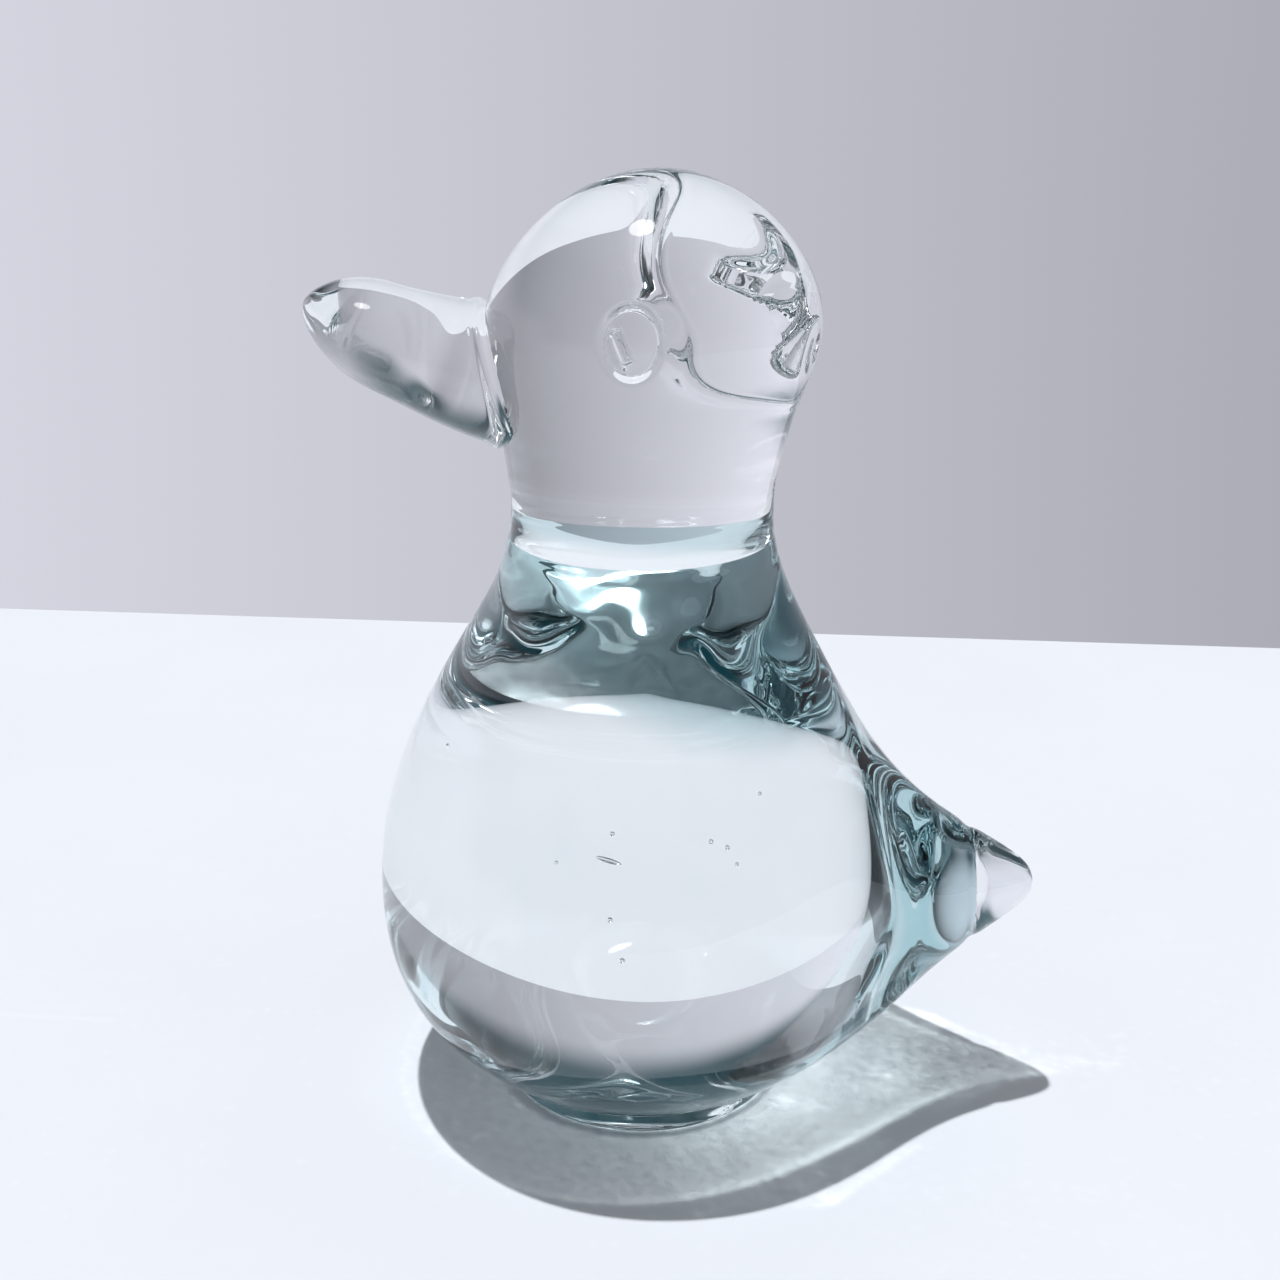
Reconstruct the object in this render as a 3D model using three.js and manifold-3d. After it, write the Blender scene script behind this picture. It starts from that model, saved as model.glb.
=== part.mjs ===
// Solid glass duck, hot-worked from gathers and bits of clear glass that are fused together.
// Millimetres, +Z up. The bill points to -Y, the duck's left side is +X, and z = 0 is the ground flat under the foot.

import * as THREE from "three";
import { mergeVertices } from "three/addons/utils/BufferGeometryUtils.js";
import Module from "manifold-3d";

// Foot: a low pad, ground flat
const FOOT_HEIGHT = 3;
const FOOT_RADIUS = 19.4;
const FOOT_TOP_RADIUS = 19.9;
const FOOT_BEVEL = 0.5;

// Body: a pear with a breast that swells forward, between the foot and the neck joint
const BODY_HEIGHT = 76;
const BODY_SEAT_RADIUS = 20.2;
const UNDERSIDE_RADIUS = 25.6;
const THIGH_RADIUS = 31.7;
const BELLY_RADIUS = 34.4;
const BACK_RADIUS = 30;
const SHOULDER_RADIUS = 23;
const NECK_RADIUS = 17.3;
const BODY_BREADTH = 1.055;
const BREAST_SWELL = 1.8;

// Tail: a stub drawn back out of the body, a little up and to the left, and a drop of glass on its end
const TAIL_HEIGHT = 28.2;
const TAIL_DRAW = 20.9;
const TAIL_SWING = THREE.MathUtils.degToRad(15);
const TAIL_RISE = THREE.MathUtils.degToRad(8.5);
const TAIL_TAPER = 8.2;
const TAIL_BLUNTNESS = 5;
const TAIL_ROUNDING = 2.4;
const TAIL_WIDENING = 1;
const STUB_LENGTH = 11.8;

// Head: a ball on a short neck that leans back a little, its centre below the crown
const HEAD_HEIGHT = 46;
const THROAT_RADIUS = 17.6;
const CHEEK_RADIUS = 19.6;
const HEAD_RADIUS = 21.3;
const BROW_RADIUS = 17.9;
const CROWN_RADIUS = 11.2;
const HEAD_LEAN = 2.15;
const HEAD_CENTRE_DROP = 20;

// Bill: a tongue of glass stuck on a flat of the face
const BILL_LENGTH = 26.4;
const BILL_ROOT_RADIUS = 8.2;
const BILL_MID_RADIUS = 7;
const BILL_END_RADIUS = 5.3;
const BILL_ROOT_WIDENING = 1.35;
const BILL_END_WIDENING = 1.5;
const BILL_SAG = 0.9;
const BILL_UPTURN = 1.7;
const BILL_PITCH = THREE.MathUtils.degToRad(17);
const BILL_SEAT_DROP = THREE.MathUtils.degToRad(14.3);
const BILL_SEAT_DEPTH = 2.2;

// Eyes: dots of glass pressed by hand into sockets in the sides of the head, the right one lower and further back
const EYE_RADIUS = 3.7;
const EYE_SLIMNESS = 0.84;
const EYE_DEPTH = 1.6;
const EYE_EDGE = 0.1;
const EYE_DOME = 0.55;
const LEFT_EYE_RISE = 2.4;
const LEFT_EYE_TURN = THREE.MathUtils.degToRad(7.5);
const RIGHT_EYE_RISE = -1.8;
const RIGHT_EYE_TURN = THREE.MathUtils.degToRad(11.5);

// Gap left at joints that one piece is cut to fit
const SEAM_GAP = 0.3;

// Fineness of the facets
const BODY_SIDES = 72;
const HEAD_SIDES = 56;
const SMALL_SIDES = 36;
const TAIL_CROWDING = 0.5;

const BODY_BOTTOM = FOOT_HEIGHT;
const NECK_Z = BODY_BOTTOM + BODY_HEIGHT;
const TOP_Z = NECK_Z + HEAD_HEIGHT;

const wasm = await Module();
wasm.setup();

/** Solid of a closed geometry, kept as positions with shared corners merged. */
function solidOf(geometry) {
  const bare = geometry.clone();
  bare.deleteAttribute("normal");
  bare.deleteAttribute("uv");
  const merged = mergeVertices(bare, 1e-4);
  const mesh = new wasm.Mesh({
    numProp: 3,
    vertProperties: new Float32Array(merged.attributes.position.array),
    triVerts: new Uint32Array(merged.index.array),
  });
  return new wasm.Manifold(mesh);
}

/** Geometry of a solid, ready for a mesh. */
function geometryOf(solid) {
  const mesh = solid.getMesh();
  const geometry = new THREE.BufferGeometry();
  geometry.setAttribute("position", new THREE.BufferAttribute(new Float32Array(mesh.vertProperties), 3));
  geometry.setIndex(new THREE.BufferAttribute(new Uint32Array(mesh.triVerts), 1));
  geometry.computeVertexNormals();
  return geometry;
}

/** Block that fills the space beyond the plane through a point, on the side that the normal points to. */
function spaceBeyond(point, normal) {
  const side = 4 * TOP_Z;
  const block = new THREE.BoxGeometry(side, side, side);
  block.translate(0, 0, side / 2);
  const turn = new THREE.Quaternion().setFromUnitVectors(new THREE.Vector3(0, 0, 1), normal);
  block.applyQuaternion(turn);
  block.translate(point.x, point.y, point.z);
  return solidOf(block);
}

/** Smooth run of profile points through stations of radius and height. */
function smoothRun(stations, count) {
  const curve = new THREE.CatmullRomCurve3(stations.map(([radius, height]) => new THREE.Vector3(radius, height, 0)));
  return curve.getPoints(count).map((point) => new THREE.Vector2(point.x, point.y));
}

/** Smooth run whose last station lies on the axis, rounded over there as if it went on across the axis. */
function roundedRun(stations, count) {
  const beyond = stations
    .slice(0, -1)
    .reverse()
    .map(([radius, height]) => [-radius, height]);
  const half = smoothRun([...stations, ...beyond], 2 * count).slice(0, count + 1);
  half[count].x = 0;
  return half;
}

/** Turned geometry about +Z from a profile of radius and height that runs upwards. */
function turned(profile, sides) {
  return new THREE.LatheGeometry(profile, sides).rotateX(Math.PI / 2);
}

/** Moves every corner of a geometry by a function that changes the vector given to it. */
function shape(geometry, move) {
  const position = geometry.attributes.position;
  const corner = new THREE.Vector3();
  for (let i = 0; i < position.count; i += 1) {
    corner.fromBufferAttribute(position, i);
    move(corner);
    position.setXYZ(i, corner.x, corner.y, corner.z);
  }
  return geometry;
}

/** How far the middle of the body or head lies behind the foot's centre at a height. */
function leanAt(z) {
  const alongBody = THREE.MathUtils.clamp((z - BODY_BOTTOM) / BODY_HEIGHT, 0, 1);
  const alongHead = THREE.MathUtils.clamp((z - NECK_Z) / HEAD_HEIGHT, 0, 1);
  const breast = -BREAST_SWELL * Math.sin(Math.PI * alongBody) ** 2;
  return breast + HEAD_LEAN * Math.sin((Math.PI / 2) * alongHead) ** 2;
}

/** How much broader the body is from side to side than from front to back at a height. */
function breadthAt(z) {
  const alongBody = THREE.MathUtils.clamp((z - BODY_BOTTOM) / BODY_HEIGHT, 0, 1);
  return 1 + (BODY_BREADTH - 1) * Math.sin(Math.PI * alongBody) ** 2;
}

/** How far a point of the body's skin is drawn back with the tail. */
function tailDraw(point) {
  const spread = Math.hypot(point.x / TAIL_WIDENING, point.z - TAIL_HEIGHT);
  const rounded = spread ** TAIL_ROUNDING + TAIL_BLUNTNESS ** TAIL_ROUNDING;
  const slope = rounded ** (1 / TAIL_ROUNDING) - TAIL_BLUNTNESS;
  const behind = THREE.MathUtils.smoothstep(point.y, -8, 16);
  const clearOfFoot = THREE.MathUtils.smoothstep(point.z, BODY_BOTTOM, BODY_BOTTOM + 14);
  const clearOfNeck = 1 - THREE.MathUtils.smoothstep(point.z, NECK_Z - 30, NECK_Z);
  return TAIL_DRAW * Math.exp(-slope / TAIL_TAPER) * behind * clearOfFoot * clearOfNeck;
}

/** Foot pad with a small bevel round its ground edge. */
function makeFoot() {
  const profile = [
    new THREE.Vector2(0, 0),
    new THREE.Vector2(FOOT_RADIUS - FOOT_BEVEL, 0),
    new THREE.Vector2(FOOT_RADIUS, FOOT_BEVEL),
    new THREE.Vector2(FOOT_TOP_RADIUS, FOOT_HEIGHT),
    new THREE.Vector2(0, FOOT_HEIGHT),
  ];
  return solidOf(turned(profile, BODY_SIDES));
}

/** Body with its whole drawn-out tail, before the tail is parted from it. */
function makeDrawnBody() {
  const at = (share) => BODY_BOTTOM + share * BODY_HEIGHT;
  const side = smoothRun(
    [
      [BODY_SEAT_RADIUS, at(0)],
      [UNDERSIDE_RADIUS, at(0.053)],
      [THIGH_RADIUS, at(0.145)],
      [BELLY_RADIUS, at(0.355)],
      [BACK_RADIUS, at(0.618)],
      [SHOULDER_RADIUS, at(0.816)],
      [NECK_RADIUS, at(1)],
    ],
    48,
  );
  const profile = [new THREE.Vector2(0, at(0)), ...side, new THREE.Vector2(0, at(1))];
  const wayOfTail = new THREE.Vector3(Math.sin(TAIL_SWING), Math.cos(TAIL_SWING), Math.tan(TAIL_RISE));
  const skin = shape(turned(profile, BODY_SIDES), (corner) => {
    const radius = Math.hypot(corner.x, corner.y);
    const fromTail = Math.atan2(corner.x, corner.y);
    const crowded = fromTail - TAIL_CROWDING * Math.sin(fromTail);
    corner.x = radius * Math.sin(crowded) * breadthAt(corner.z);
    corner.y = radius * Math.cos(crowded) + leanAt(corner.z);
    corner.addScaledVector(wayOfTail, tailDraw(corner));
  });
  return solidOf(skin);
}

/** Body and tail, parted by an upright plane across the end of the stub. */
function makeBodyAndTail() {
  const whole = makeDrawnBody();
  const back = new THREE.Vector3(0, 1, 0);
  const seam = new THREE.Vector3(0, leanAt(TAIL_HEIGHT) + BELLY_RADIUS + STUB_LENGTH, TAIL_HEIGHT);
  const tailStart = seam.clone().addScaledVector(back, SEAM_GAP);
  return {
    body: whole.subtract(spaceBeyond(seam, back)),
    tail: whole.intersect(spaceBeyond(tailStart, back)),
  };
}

/** Profile of the head and neck, from the neck joint to the crown. */
function headProfile() {
  const at = (share) => NECK_Z + share * HEAD_HEIGHT;
  return roundedRun(
    [
      [NECK_RADIUS, at(0)],
      [THROAT_RADIUS, at(0.196)],
      [CHEEK_RADIUS, at(0.391)],
      [HEAD_RADIUS, at(0.587)],
      [BROW_RADIUS, at(0.783)],
      [CROWN_RADIUS, at(0.924)],
      [0, at(1)],
    ],
    36,
  );
}

/** Radius of the head at a height. */
function headRadiusAt(z) {
  const side = headProfile();
  const above = side.findIndex((point) => point.y >= z);
  const low = side[above - 1];
  const high = side[above];
  return THREE.MathUtils.mapLinear(z, low.y, high.y, low.x, high.x);
}

/** Head and neck before the bill's flat and the eye sockets are cut. */
function makeHeadBall() {
  const profile = [new THREE.Vector2(0, NECK_Z), ...headProfile()];
  const skin = shape(turned(profile, HEAD_SIDES), (corner) => {
    corner.y += leanAt(corner.z);
  });
  return solidOf(skin);
}

const HEAD_CENTRE_Z = TOP_Z - HEAD_CENTRE_DROP;
const HEAD_CENTRE = new THREE.Vector3(0, leanAt(HEAD_CENTRE_Z), HEAD_CENTRE_Z);
const BILL_SEAT_NORMAL = new THREE.Vector3(0, -Math.cos(BILL_SEAT_DROP), -Math.sin(BILL_SEAT_DROP));
const BILL_SEAT = HEAD_CENTRE.clone().addScaledVector(BILL_SEAT_NORMAL, HEAD_RADIUS - BILL_SEAT_DEPTH);

/** Bill, or with a growth the seat that holds it: a turned tongue, widened to its tip, bent up and cut flat. */
function makeBill(growth) {
  const root = BILL_ROOT_RADIUS + growth;
  const profile = [
    new THREE.Vector2(0, -root),
    ...roundedRun(
      [
        [root, -root],
        [root, 0.12 * BILL_LENGTH],
        [BILL_MID_RADIUS + growth, 0.49 * BILL_LENGTH],
        [BILL_END_RADIUS + growth, 0.8 * BILL_LENGTH],
        [0, BILL_LENGTH + growth],
      ],
      24,
    ),
  ];
  const tongue = shape(turned(profile, SMALL_SIDES), (corner) => {
    const along = THREE.MathUtils.clamp(corner.z / BILL_LENGTH, 0, 1);
    corner.x *= THREE.MathUtils.lerp(BILL_ROOT_WIDENING, BILL_END_WIDENING, along);
    corner.y += BILL_UPTURN * along ** 2 - BILL_SAG;
  });
  tongue.rotateX(Math.PI / 2 - BILL_PITCH);
  const start = BILL_SEAT.clone().addScaledVector(BILL_SEAT_NORMAL, SEAM_GAP - growth);
  tongue.translate(BILL_SEAT.x, BILL_SEAT.y, BILL_SEAT.z);
  return solidOf(tongue).intersect(spaceBeyond(start, BILL_SEAT_NORMAL));
}

/** Lens-shaped dot of an eye, lying flat at the origin. */
function eyeDot() {
  const profile = [
    new THREE.Vector2(0, -EYE_DEPTH),
    new THREE.Vector2(EYE_RADIUS, -EYE_DEPTH),
    new THREE.Vector2(EYE_RADIUS, EYE_EDGE),
    new THREE.Vector2(0.6 * EYE_RADIUS, EYE_EDGE + 0.72 * EYE_DOME),
    new THREE.Vector2(0, EYE_EDGE + EYE_DOME),
  ];
  return turned(profile, SMALL_SIDES).scale(EYE_SLIMNESS, 1, 1);
}

/** Straight-walled room that the dot is pressed into, lying flat at the origin and open at the top. */
function eyeSocket() {
  const rim = EYE_RADIUS + SEAM_GAP;
  const profile = [
    new THREE.Vector2(0, -EYE_DEPTH - SEAM_GAP),
    new THREE.Vector2(rim, -EYE_DEPTH - SEAM_GAP),
    new THREE.Vector2(rim, EYE_DEPTH),
    new THREE.Vector2(0, EYE_DEPTH),
  ];
  return turned(profile, SMALL_SIDES).scale(EYE_SLIMNESS, 1, 1);
}

/** Lays a flat-lying eye along the side of the head: side is 1 for the left eye and -1 for the right. */
function setInHead(geometry, side) {
  const z = HEAD_CENTRE_Z + (side > 0 ? LEFT_EYE_RISE : RIGHT_EYE_RISE);
  const turn = side > 0 ? LEFT_EYE_TURN : RIGHT_EYE_TURN;
  const level = new THREE.Vector3(side * Math.cos(turn), -side * Math.sin(turn), 0);
  const slope = (headRadiusAt(z + EYE_RADIUS) - headRadiusAt(z - EYE_RADIUS)) / (2 * EYE_RADIUS);
  const out = level.clone().setZ(-slope).normalize();
  const across = new THREE.Vector3(0, 0, 1).cross(level);
  const up = new THREE.Vector3().crossVectors(out, across);
  const seat = new THREE.Vector3(0, leanAt(z), z).addScaledVector(level, headRadiusAt(z));
  seat.addScaledVector(out, -EYE_EDGE);
  const place = new THREE.Matrix4().makeBasis(across, up, out).setPosition(seat);
  return geometry.applyMatrix4(place);
}

/** Head with the flat seat for the bill and a socket for each eye. */
function makeHead() {
  return makeHeadBall()
    .subtract(makeBill(SEAM_GAP))
    .subtract(solidOf(setInHead(eyeSocket(), 1)))
    .subtract(solidOf(setInHead(eyeSocket(), -1)));
}

/** Mesh of one piece in its own clear glass. */
function piece(name, solid, colour) {
  const glass = new THREE.MeshStandardMaterial({
    color: colour,
    roughness: 0.03,
    metalness: 0,
    transparent: true,
    opacity: 0.45,
  });
  const mesh = new THREE.Mesh(geometryOf(solid), glass);
  mesh.name = name;
  return mesh;
}

const CLEAR = "#e9f1f3";
const TINTED = "#c9dcdf";

const { body, tail } = makeBodyAndTail();
const duck = new THREE.Group();
duck.name = "glass_duck";
duck.add(
  piece("foot", makeFoot(), TINTED),
  piece("body", body, TINTED),
  piece("tail", tail, CLEAR),
  piece("head", makeHead(), CLEAR),
  piece("bill", makeBill(0), CLEAR),
  piece("left_eye", solidOf(setInHead(eyeDot(), 1)), CLEAR),
  piece("right_eye", solidOf(setInHead(eyeDot(), -1)), CLEAR),
);

export default duck;
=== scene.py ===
"""Solid glass duck figurine, fused hot from pieces of clear and tinted glass, on a pale table top.

Lengths are in millimetres until a mesh is written. +Z is up, the bill points to -Y and the duck's left side
is +X.
"""

import logging
import math
from collections.abc import Iterable, Sequence
from dataclasses import dataclass, field
from enum import Enum

import bmesh
import bpy
import numpy as np
from mathutils import Matrix, Vector
from mathutils.bvhtree import BVHTree


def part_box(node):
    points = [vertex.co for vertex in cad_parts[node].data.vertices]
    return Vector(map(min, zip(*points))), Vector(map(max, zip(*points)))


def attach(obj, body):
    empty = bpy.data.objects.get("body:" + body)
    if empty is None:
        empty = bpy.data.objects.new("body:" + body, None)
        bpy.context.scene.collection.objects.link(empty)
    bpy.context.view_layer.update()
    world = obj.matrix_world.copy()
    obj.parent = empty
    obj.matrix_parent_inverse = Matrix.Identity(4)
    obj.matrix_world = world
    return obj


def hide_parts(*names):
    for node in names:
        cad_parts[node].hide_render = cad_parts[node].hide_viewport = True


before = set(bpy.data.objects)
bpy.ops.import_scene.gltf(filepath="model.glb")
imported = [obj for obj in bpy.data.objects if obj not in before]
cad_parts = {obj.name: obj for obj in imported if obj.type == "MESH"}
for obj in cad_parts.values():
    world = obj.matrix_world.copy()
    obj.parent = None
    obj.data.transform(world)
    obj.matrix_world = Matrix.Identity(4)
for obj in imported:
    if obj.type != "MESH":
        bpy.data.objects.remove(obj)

LOG = logging.getLogger("glass_duck")
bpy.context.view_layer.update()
BODY = "root"
MM = 0.001
IMAGE_SIDE = 1280
SENSOR_MM = 36.0
FUSED = "fused"
BENT_LIGHT = "bent_light"
FUSED_GAP = 0.02


class Slot(Enum):
    """Material slots of the record that the pieces take their finish from."""

    TINTED = "tinted_glass"
    CLEAR = "clear_glass"


class Side(Enum):
    """Sides of the head, with the sign of x there."""

    LEFT = 1
    RIGHT = -1


def linear(colour: str) -> tuple[float, float, float, float]:
    """Turns an sRGB hex colour into linear light.

    Args:
        colour: Colour such as "#d0e4e6".

    Returns:
        Red, green and blue in linear light, and a full alpha.
    """
    shares = [int(colour[i:i + 2], 16) / 255 for i in (1, 3, 5)]
    light = [c / 12.92 if c <= 0.04045 else ((c + 0.055) / 1.055) ** 2.4 for c in shares]
    return (*light, 1.0)


def add(tree: bpy.types.NodeTree, kind: str, sockets: dict | Sequence = (),
        **settings: object) -> bpy.types.Node:
    """Adds a node with its settings and links.

    Args:
        tree: Node tree that takes the node.
        kind: Blender's name for the type of node.
        sockets: What the inputs hold, in order or by name or number: an output to link, or a plain value.
        settings: Attributes of the node itself.

    Returns:
        The new node.
    """
    node = tree.nodes.new(kind)
    for name, value in settings.items():
        setattr(node, name, value)
    for key, value in sockets.items() if isinstance(sockets, dict) else enumerate(sockets):
        if isinstance(value, bpy.types.NodeSocket):
            tree.links.new(value, node.inputs[key])
        else:
            node.inputs[key].default_value = value
    return node


def eased(value: np.ndarray, low: float, high: float) -> np.ndarray:
    """Runs from 0 at low to 1 at high, with no break of slope or curvature."""
    t = np.clip((value - low) / (high - low), 0, 1)
    return t * t * t * (t * (6 * t - 15) + 10)


def turns(count: int) -> np.ndarray:
    """Angles of points that are spread evenly round an axis."""
    return np.linspace(0, 2 * np.pi, count, endpoint=False)


def corners_of(mesh: bpy.types.Mesh) -> np.ndarray:
    """Reads the places of a mesh's corners.

    Args:
        mesh: Mesh to read.

    Returns:
        One row for each corner, in metres.
    """
    places = np.empty(len(mesh.vertices) * 3, np.float32)
    mesh.vertices.foreach_get("co", places)
    return places.reshape(-1, 3)


def stand(name: str, data: bpy.types.ID) -> bpy.types.Object:
    """Puts a new object in the scene.

    Args:
        name: Name of the object.
        data: Its mesh, lamp or lens.

    Returns:
        The object.
    """
    made = bpy.data.objects.new(name, data)
    bpy.context.scene.collection.objects.link(made)
    return made


class SmoothCurve:
    """Natural cubic spline through points, followed by chord length, so that its curvature never jumps."""

    def __init__(self, points: Sequence[Sequence[float]]) -> None:
        """Works out the spline's second derivatives.

        Args:
            points: Points that the curve goes through, in order.
        """
        self.points = np.asarray(points, float)
        steps = np.linalg.norm(np.diff(self.points, axis=0), axis=1)
        self.knots = np.concatenate([[0], np.cumsum(steps)])
        count = len(self.points)
        matrix = np.eye(count)
        right = np.zeros_like(self.points)
        slopes = np.diff(self.points, axis=0) / steps[:, None]
        for i in range(1, count - 1):
            matrix[i, i - 1:i + 2] = steps[i - 1], 2 * (steps[i - 1] + steps[i]), steps[i]
            right[i] = 6 * (slopes[i] - slopes[i - 1])
        self.bends = np.linalg.solve(matrix, right)

    def at(self, distance: np.ndarray) -> np.ndarray:
        """Finds points of the curve.

        Args:
            distance: Distances along the chords from the first point.

        Returns:
            One point for each distance.
        """
        i = np.clip(np.searchsorted(self.knots, distance, side="right") - 1, 0, len(self.knots) - 2)
        step = self.knots[i + 1] - self.knots[i]
        b = ((distance - self.knots[i]) / step)[..., None]
        a = 1 - b
        bent = ((a**3 - a) * self.bends[i] + (b**3 - b) * self.bends[i + 1]) * (step**2)[..., None] / 6
        return a * self.points[i] + b * self.points[i + 1] + bent


def to_the_axis(stations: Sequence[Sequence[float]]) -> tuple[SmoothCurve, float]:
    """Makes a profile that rounds over to the axis, by going on as its own mirror image.

    Args:
        stations: Radius and height of the points, the last of them on the axis.

    Returns:
        The curve, and the distance along it at which it reaches the axis.
    """
    mirrored = [(-radius, height) for radius, height in reversed(stations[:-1])]
    curve = SmoothCurve([*stations, *mirrored])
    return curve, float(curve.knots[len(stations) - 1])


@dataclass
class Skin:
    """Grid of rows of points round an axis, written as one closed mesh."""

    rows: list[np.ndarray] = field(default_factory=list)
    fused: list[bool] = field(default_factory=list)

    def row(self, points: np.ndarray, fused_below: bool = False) -> None:
        """Adds a row.

        Args:
            points: The row's points in order round the axis, or one point where the skin closes.
            fused_below: Whether the strip between this row and the last one is fused to another piece.
        """
        self.rows.append(np.atleast_2d(points))
        self.fused.append(fused_below)

    def mesh(self, name: str) -> bpy.types.Mesh:
        """Writes the mesh in metres, with a number for each face that is 1 where it is fused.

        Args:
            name: Name of the mesh.

        Returns:
            The mesh.
        """
        starts = np.concatenate([[0], np.cumsum([len(r) for r in self.rows])])
        faces: list[tuple[int, ...]] = []
        flags: list[float] = []
        for k in range(1, len(self.rows)):
            low, high = starts[k - 1], starts[k]
            count = max(len(self.rows[k - 1]), len(self.rows[k]))
            for i in range(count):
                j = (i + 1) % count
                if len(self.rows[k - 1]) == 1:
                    faces.append((low, high + j, high + i))
                elif len(self.rows[k]) == 1:
                    faces.append((low + i, low + j, high))
                else:
                    faces.append((low + i, low + j, high + j, high + i))
                flags.append(float(self.fused[k]))
        made = bpy.data.meshes.new(name)
        made.from_pydata((np.concatenate(self.rows) * MM).tolist(), [], faces)
        made.attributes.new(FUSED, "FLOAT", "FACE").data.foreach_set("value", flags)
        made.update()
        return made


def facing_out(mesh: bpy.types.Mesh) -> None:
    """Turns a closed mesh's faces outwards.

    Args:
        mesh: Mesh to turn.
    """
    work = bmesh.new()
    work.from_mesh(mesh)
    bmesh.ops.recalc_face_normals(work, faces=work.faces)
    work.to_mesh(mesh)
    work.free()


def polish(mesh: bpy.types.Mesh, crease: float = 38.0) -> None:
    """Shades a mesh smooth, apart from its creases.

    Args:
        mesh: Mesh to shade.
        crease: Angle in degrees above which an edge stays sharp.
    """
    mesh.polygons.foreach_set("use_smooth", np.ones(len(mesh.polygons), bool))
    mesh.set_sharp_from_angle(angle=math.radians(crease))
    mesh.update()


def place(mesh: bpy.types.Mesh, node: str, slot: Slot, material: bpy.types.Material) -> bpy.types.Object:
    """Stands a finished mesh in for a CAD node.

    Args:
        mesh: The piece's mesh.
        node: CAD node that it stands for.
        slot: Material slot of the record.
        material: Finish of the piece.

    Returns:
        The piece.
    """
    piece = stand(f"glass_{node}", mesh)
    mesh.materials.clear()
    mesh.materials.append(material)
    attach(piece, BODY)
    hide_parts(node)
    LOG.info("%s: %d faces, in %s", piece.name, len(mesh.polygons), slot.value)
    return piece


def grown(mesh: bpy.types.Mesh, growth: float) -> bpy.types.Mesh:
    """Copies a mesh with its surface moved out.

    Args:
        mesh: Closed mesh.
        growth: Distance in millimetres.

    Returns:
        The copy, all of it marked as fused.
    """
    copy = mesh.copy()
    places = corners_of(copy).ravel()
    normals = np.empty_like(places)
    copy.vertex_normals.foreach_get("vector", normals)
    copy.vertices.foreach_set("co", places + normals * growth * MM)
    copy.attributes[FUSED].data.foreach_set("value", np.ones(len(copy.polygons), np.float32))
    copy.update()
    return copy


def cut(mesh: bpy.types.Mesh, cutters: Iterable[bpy.types.Mesh]) -> bpy.types.Mesh:
    """Takes closed meshes away from another one.

    Args:
        mesh: Mesh that is cut.
        cutters: Meshes that are taken away.

    Returns:
        The cut mesh.
    """
    blank = stand("blank", mesh)
    tools = [stand("cutter", cutter) for cutter in cutters]
    for tool in tools:
        seat = blank.modifiers.new("seat", "BOOLEAN")
        seat.object = tool
        seat.operation = "DIFFERENCE"
        seat.solver = "EXACT"
    graph = bpy.context.evaluated_depsgraph_get()
    made = bpy.data.meshes.new_from_object(blank.evaluated_get(graph), depsgraph=graph)
    for done in (blank, *tools):
        bpy.data.objects.remove(done)
    return made


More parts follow.
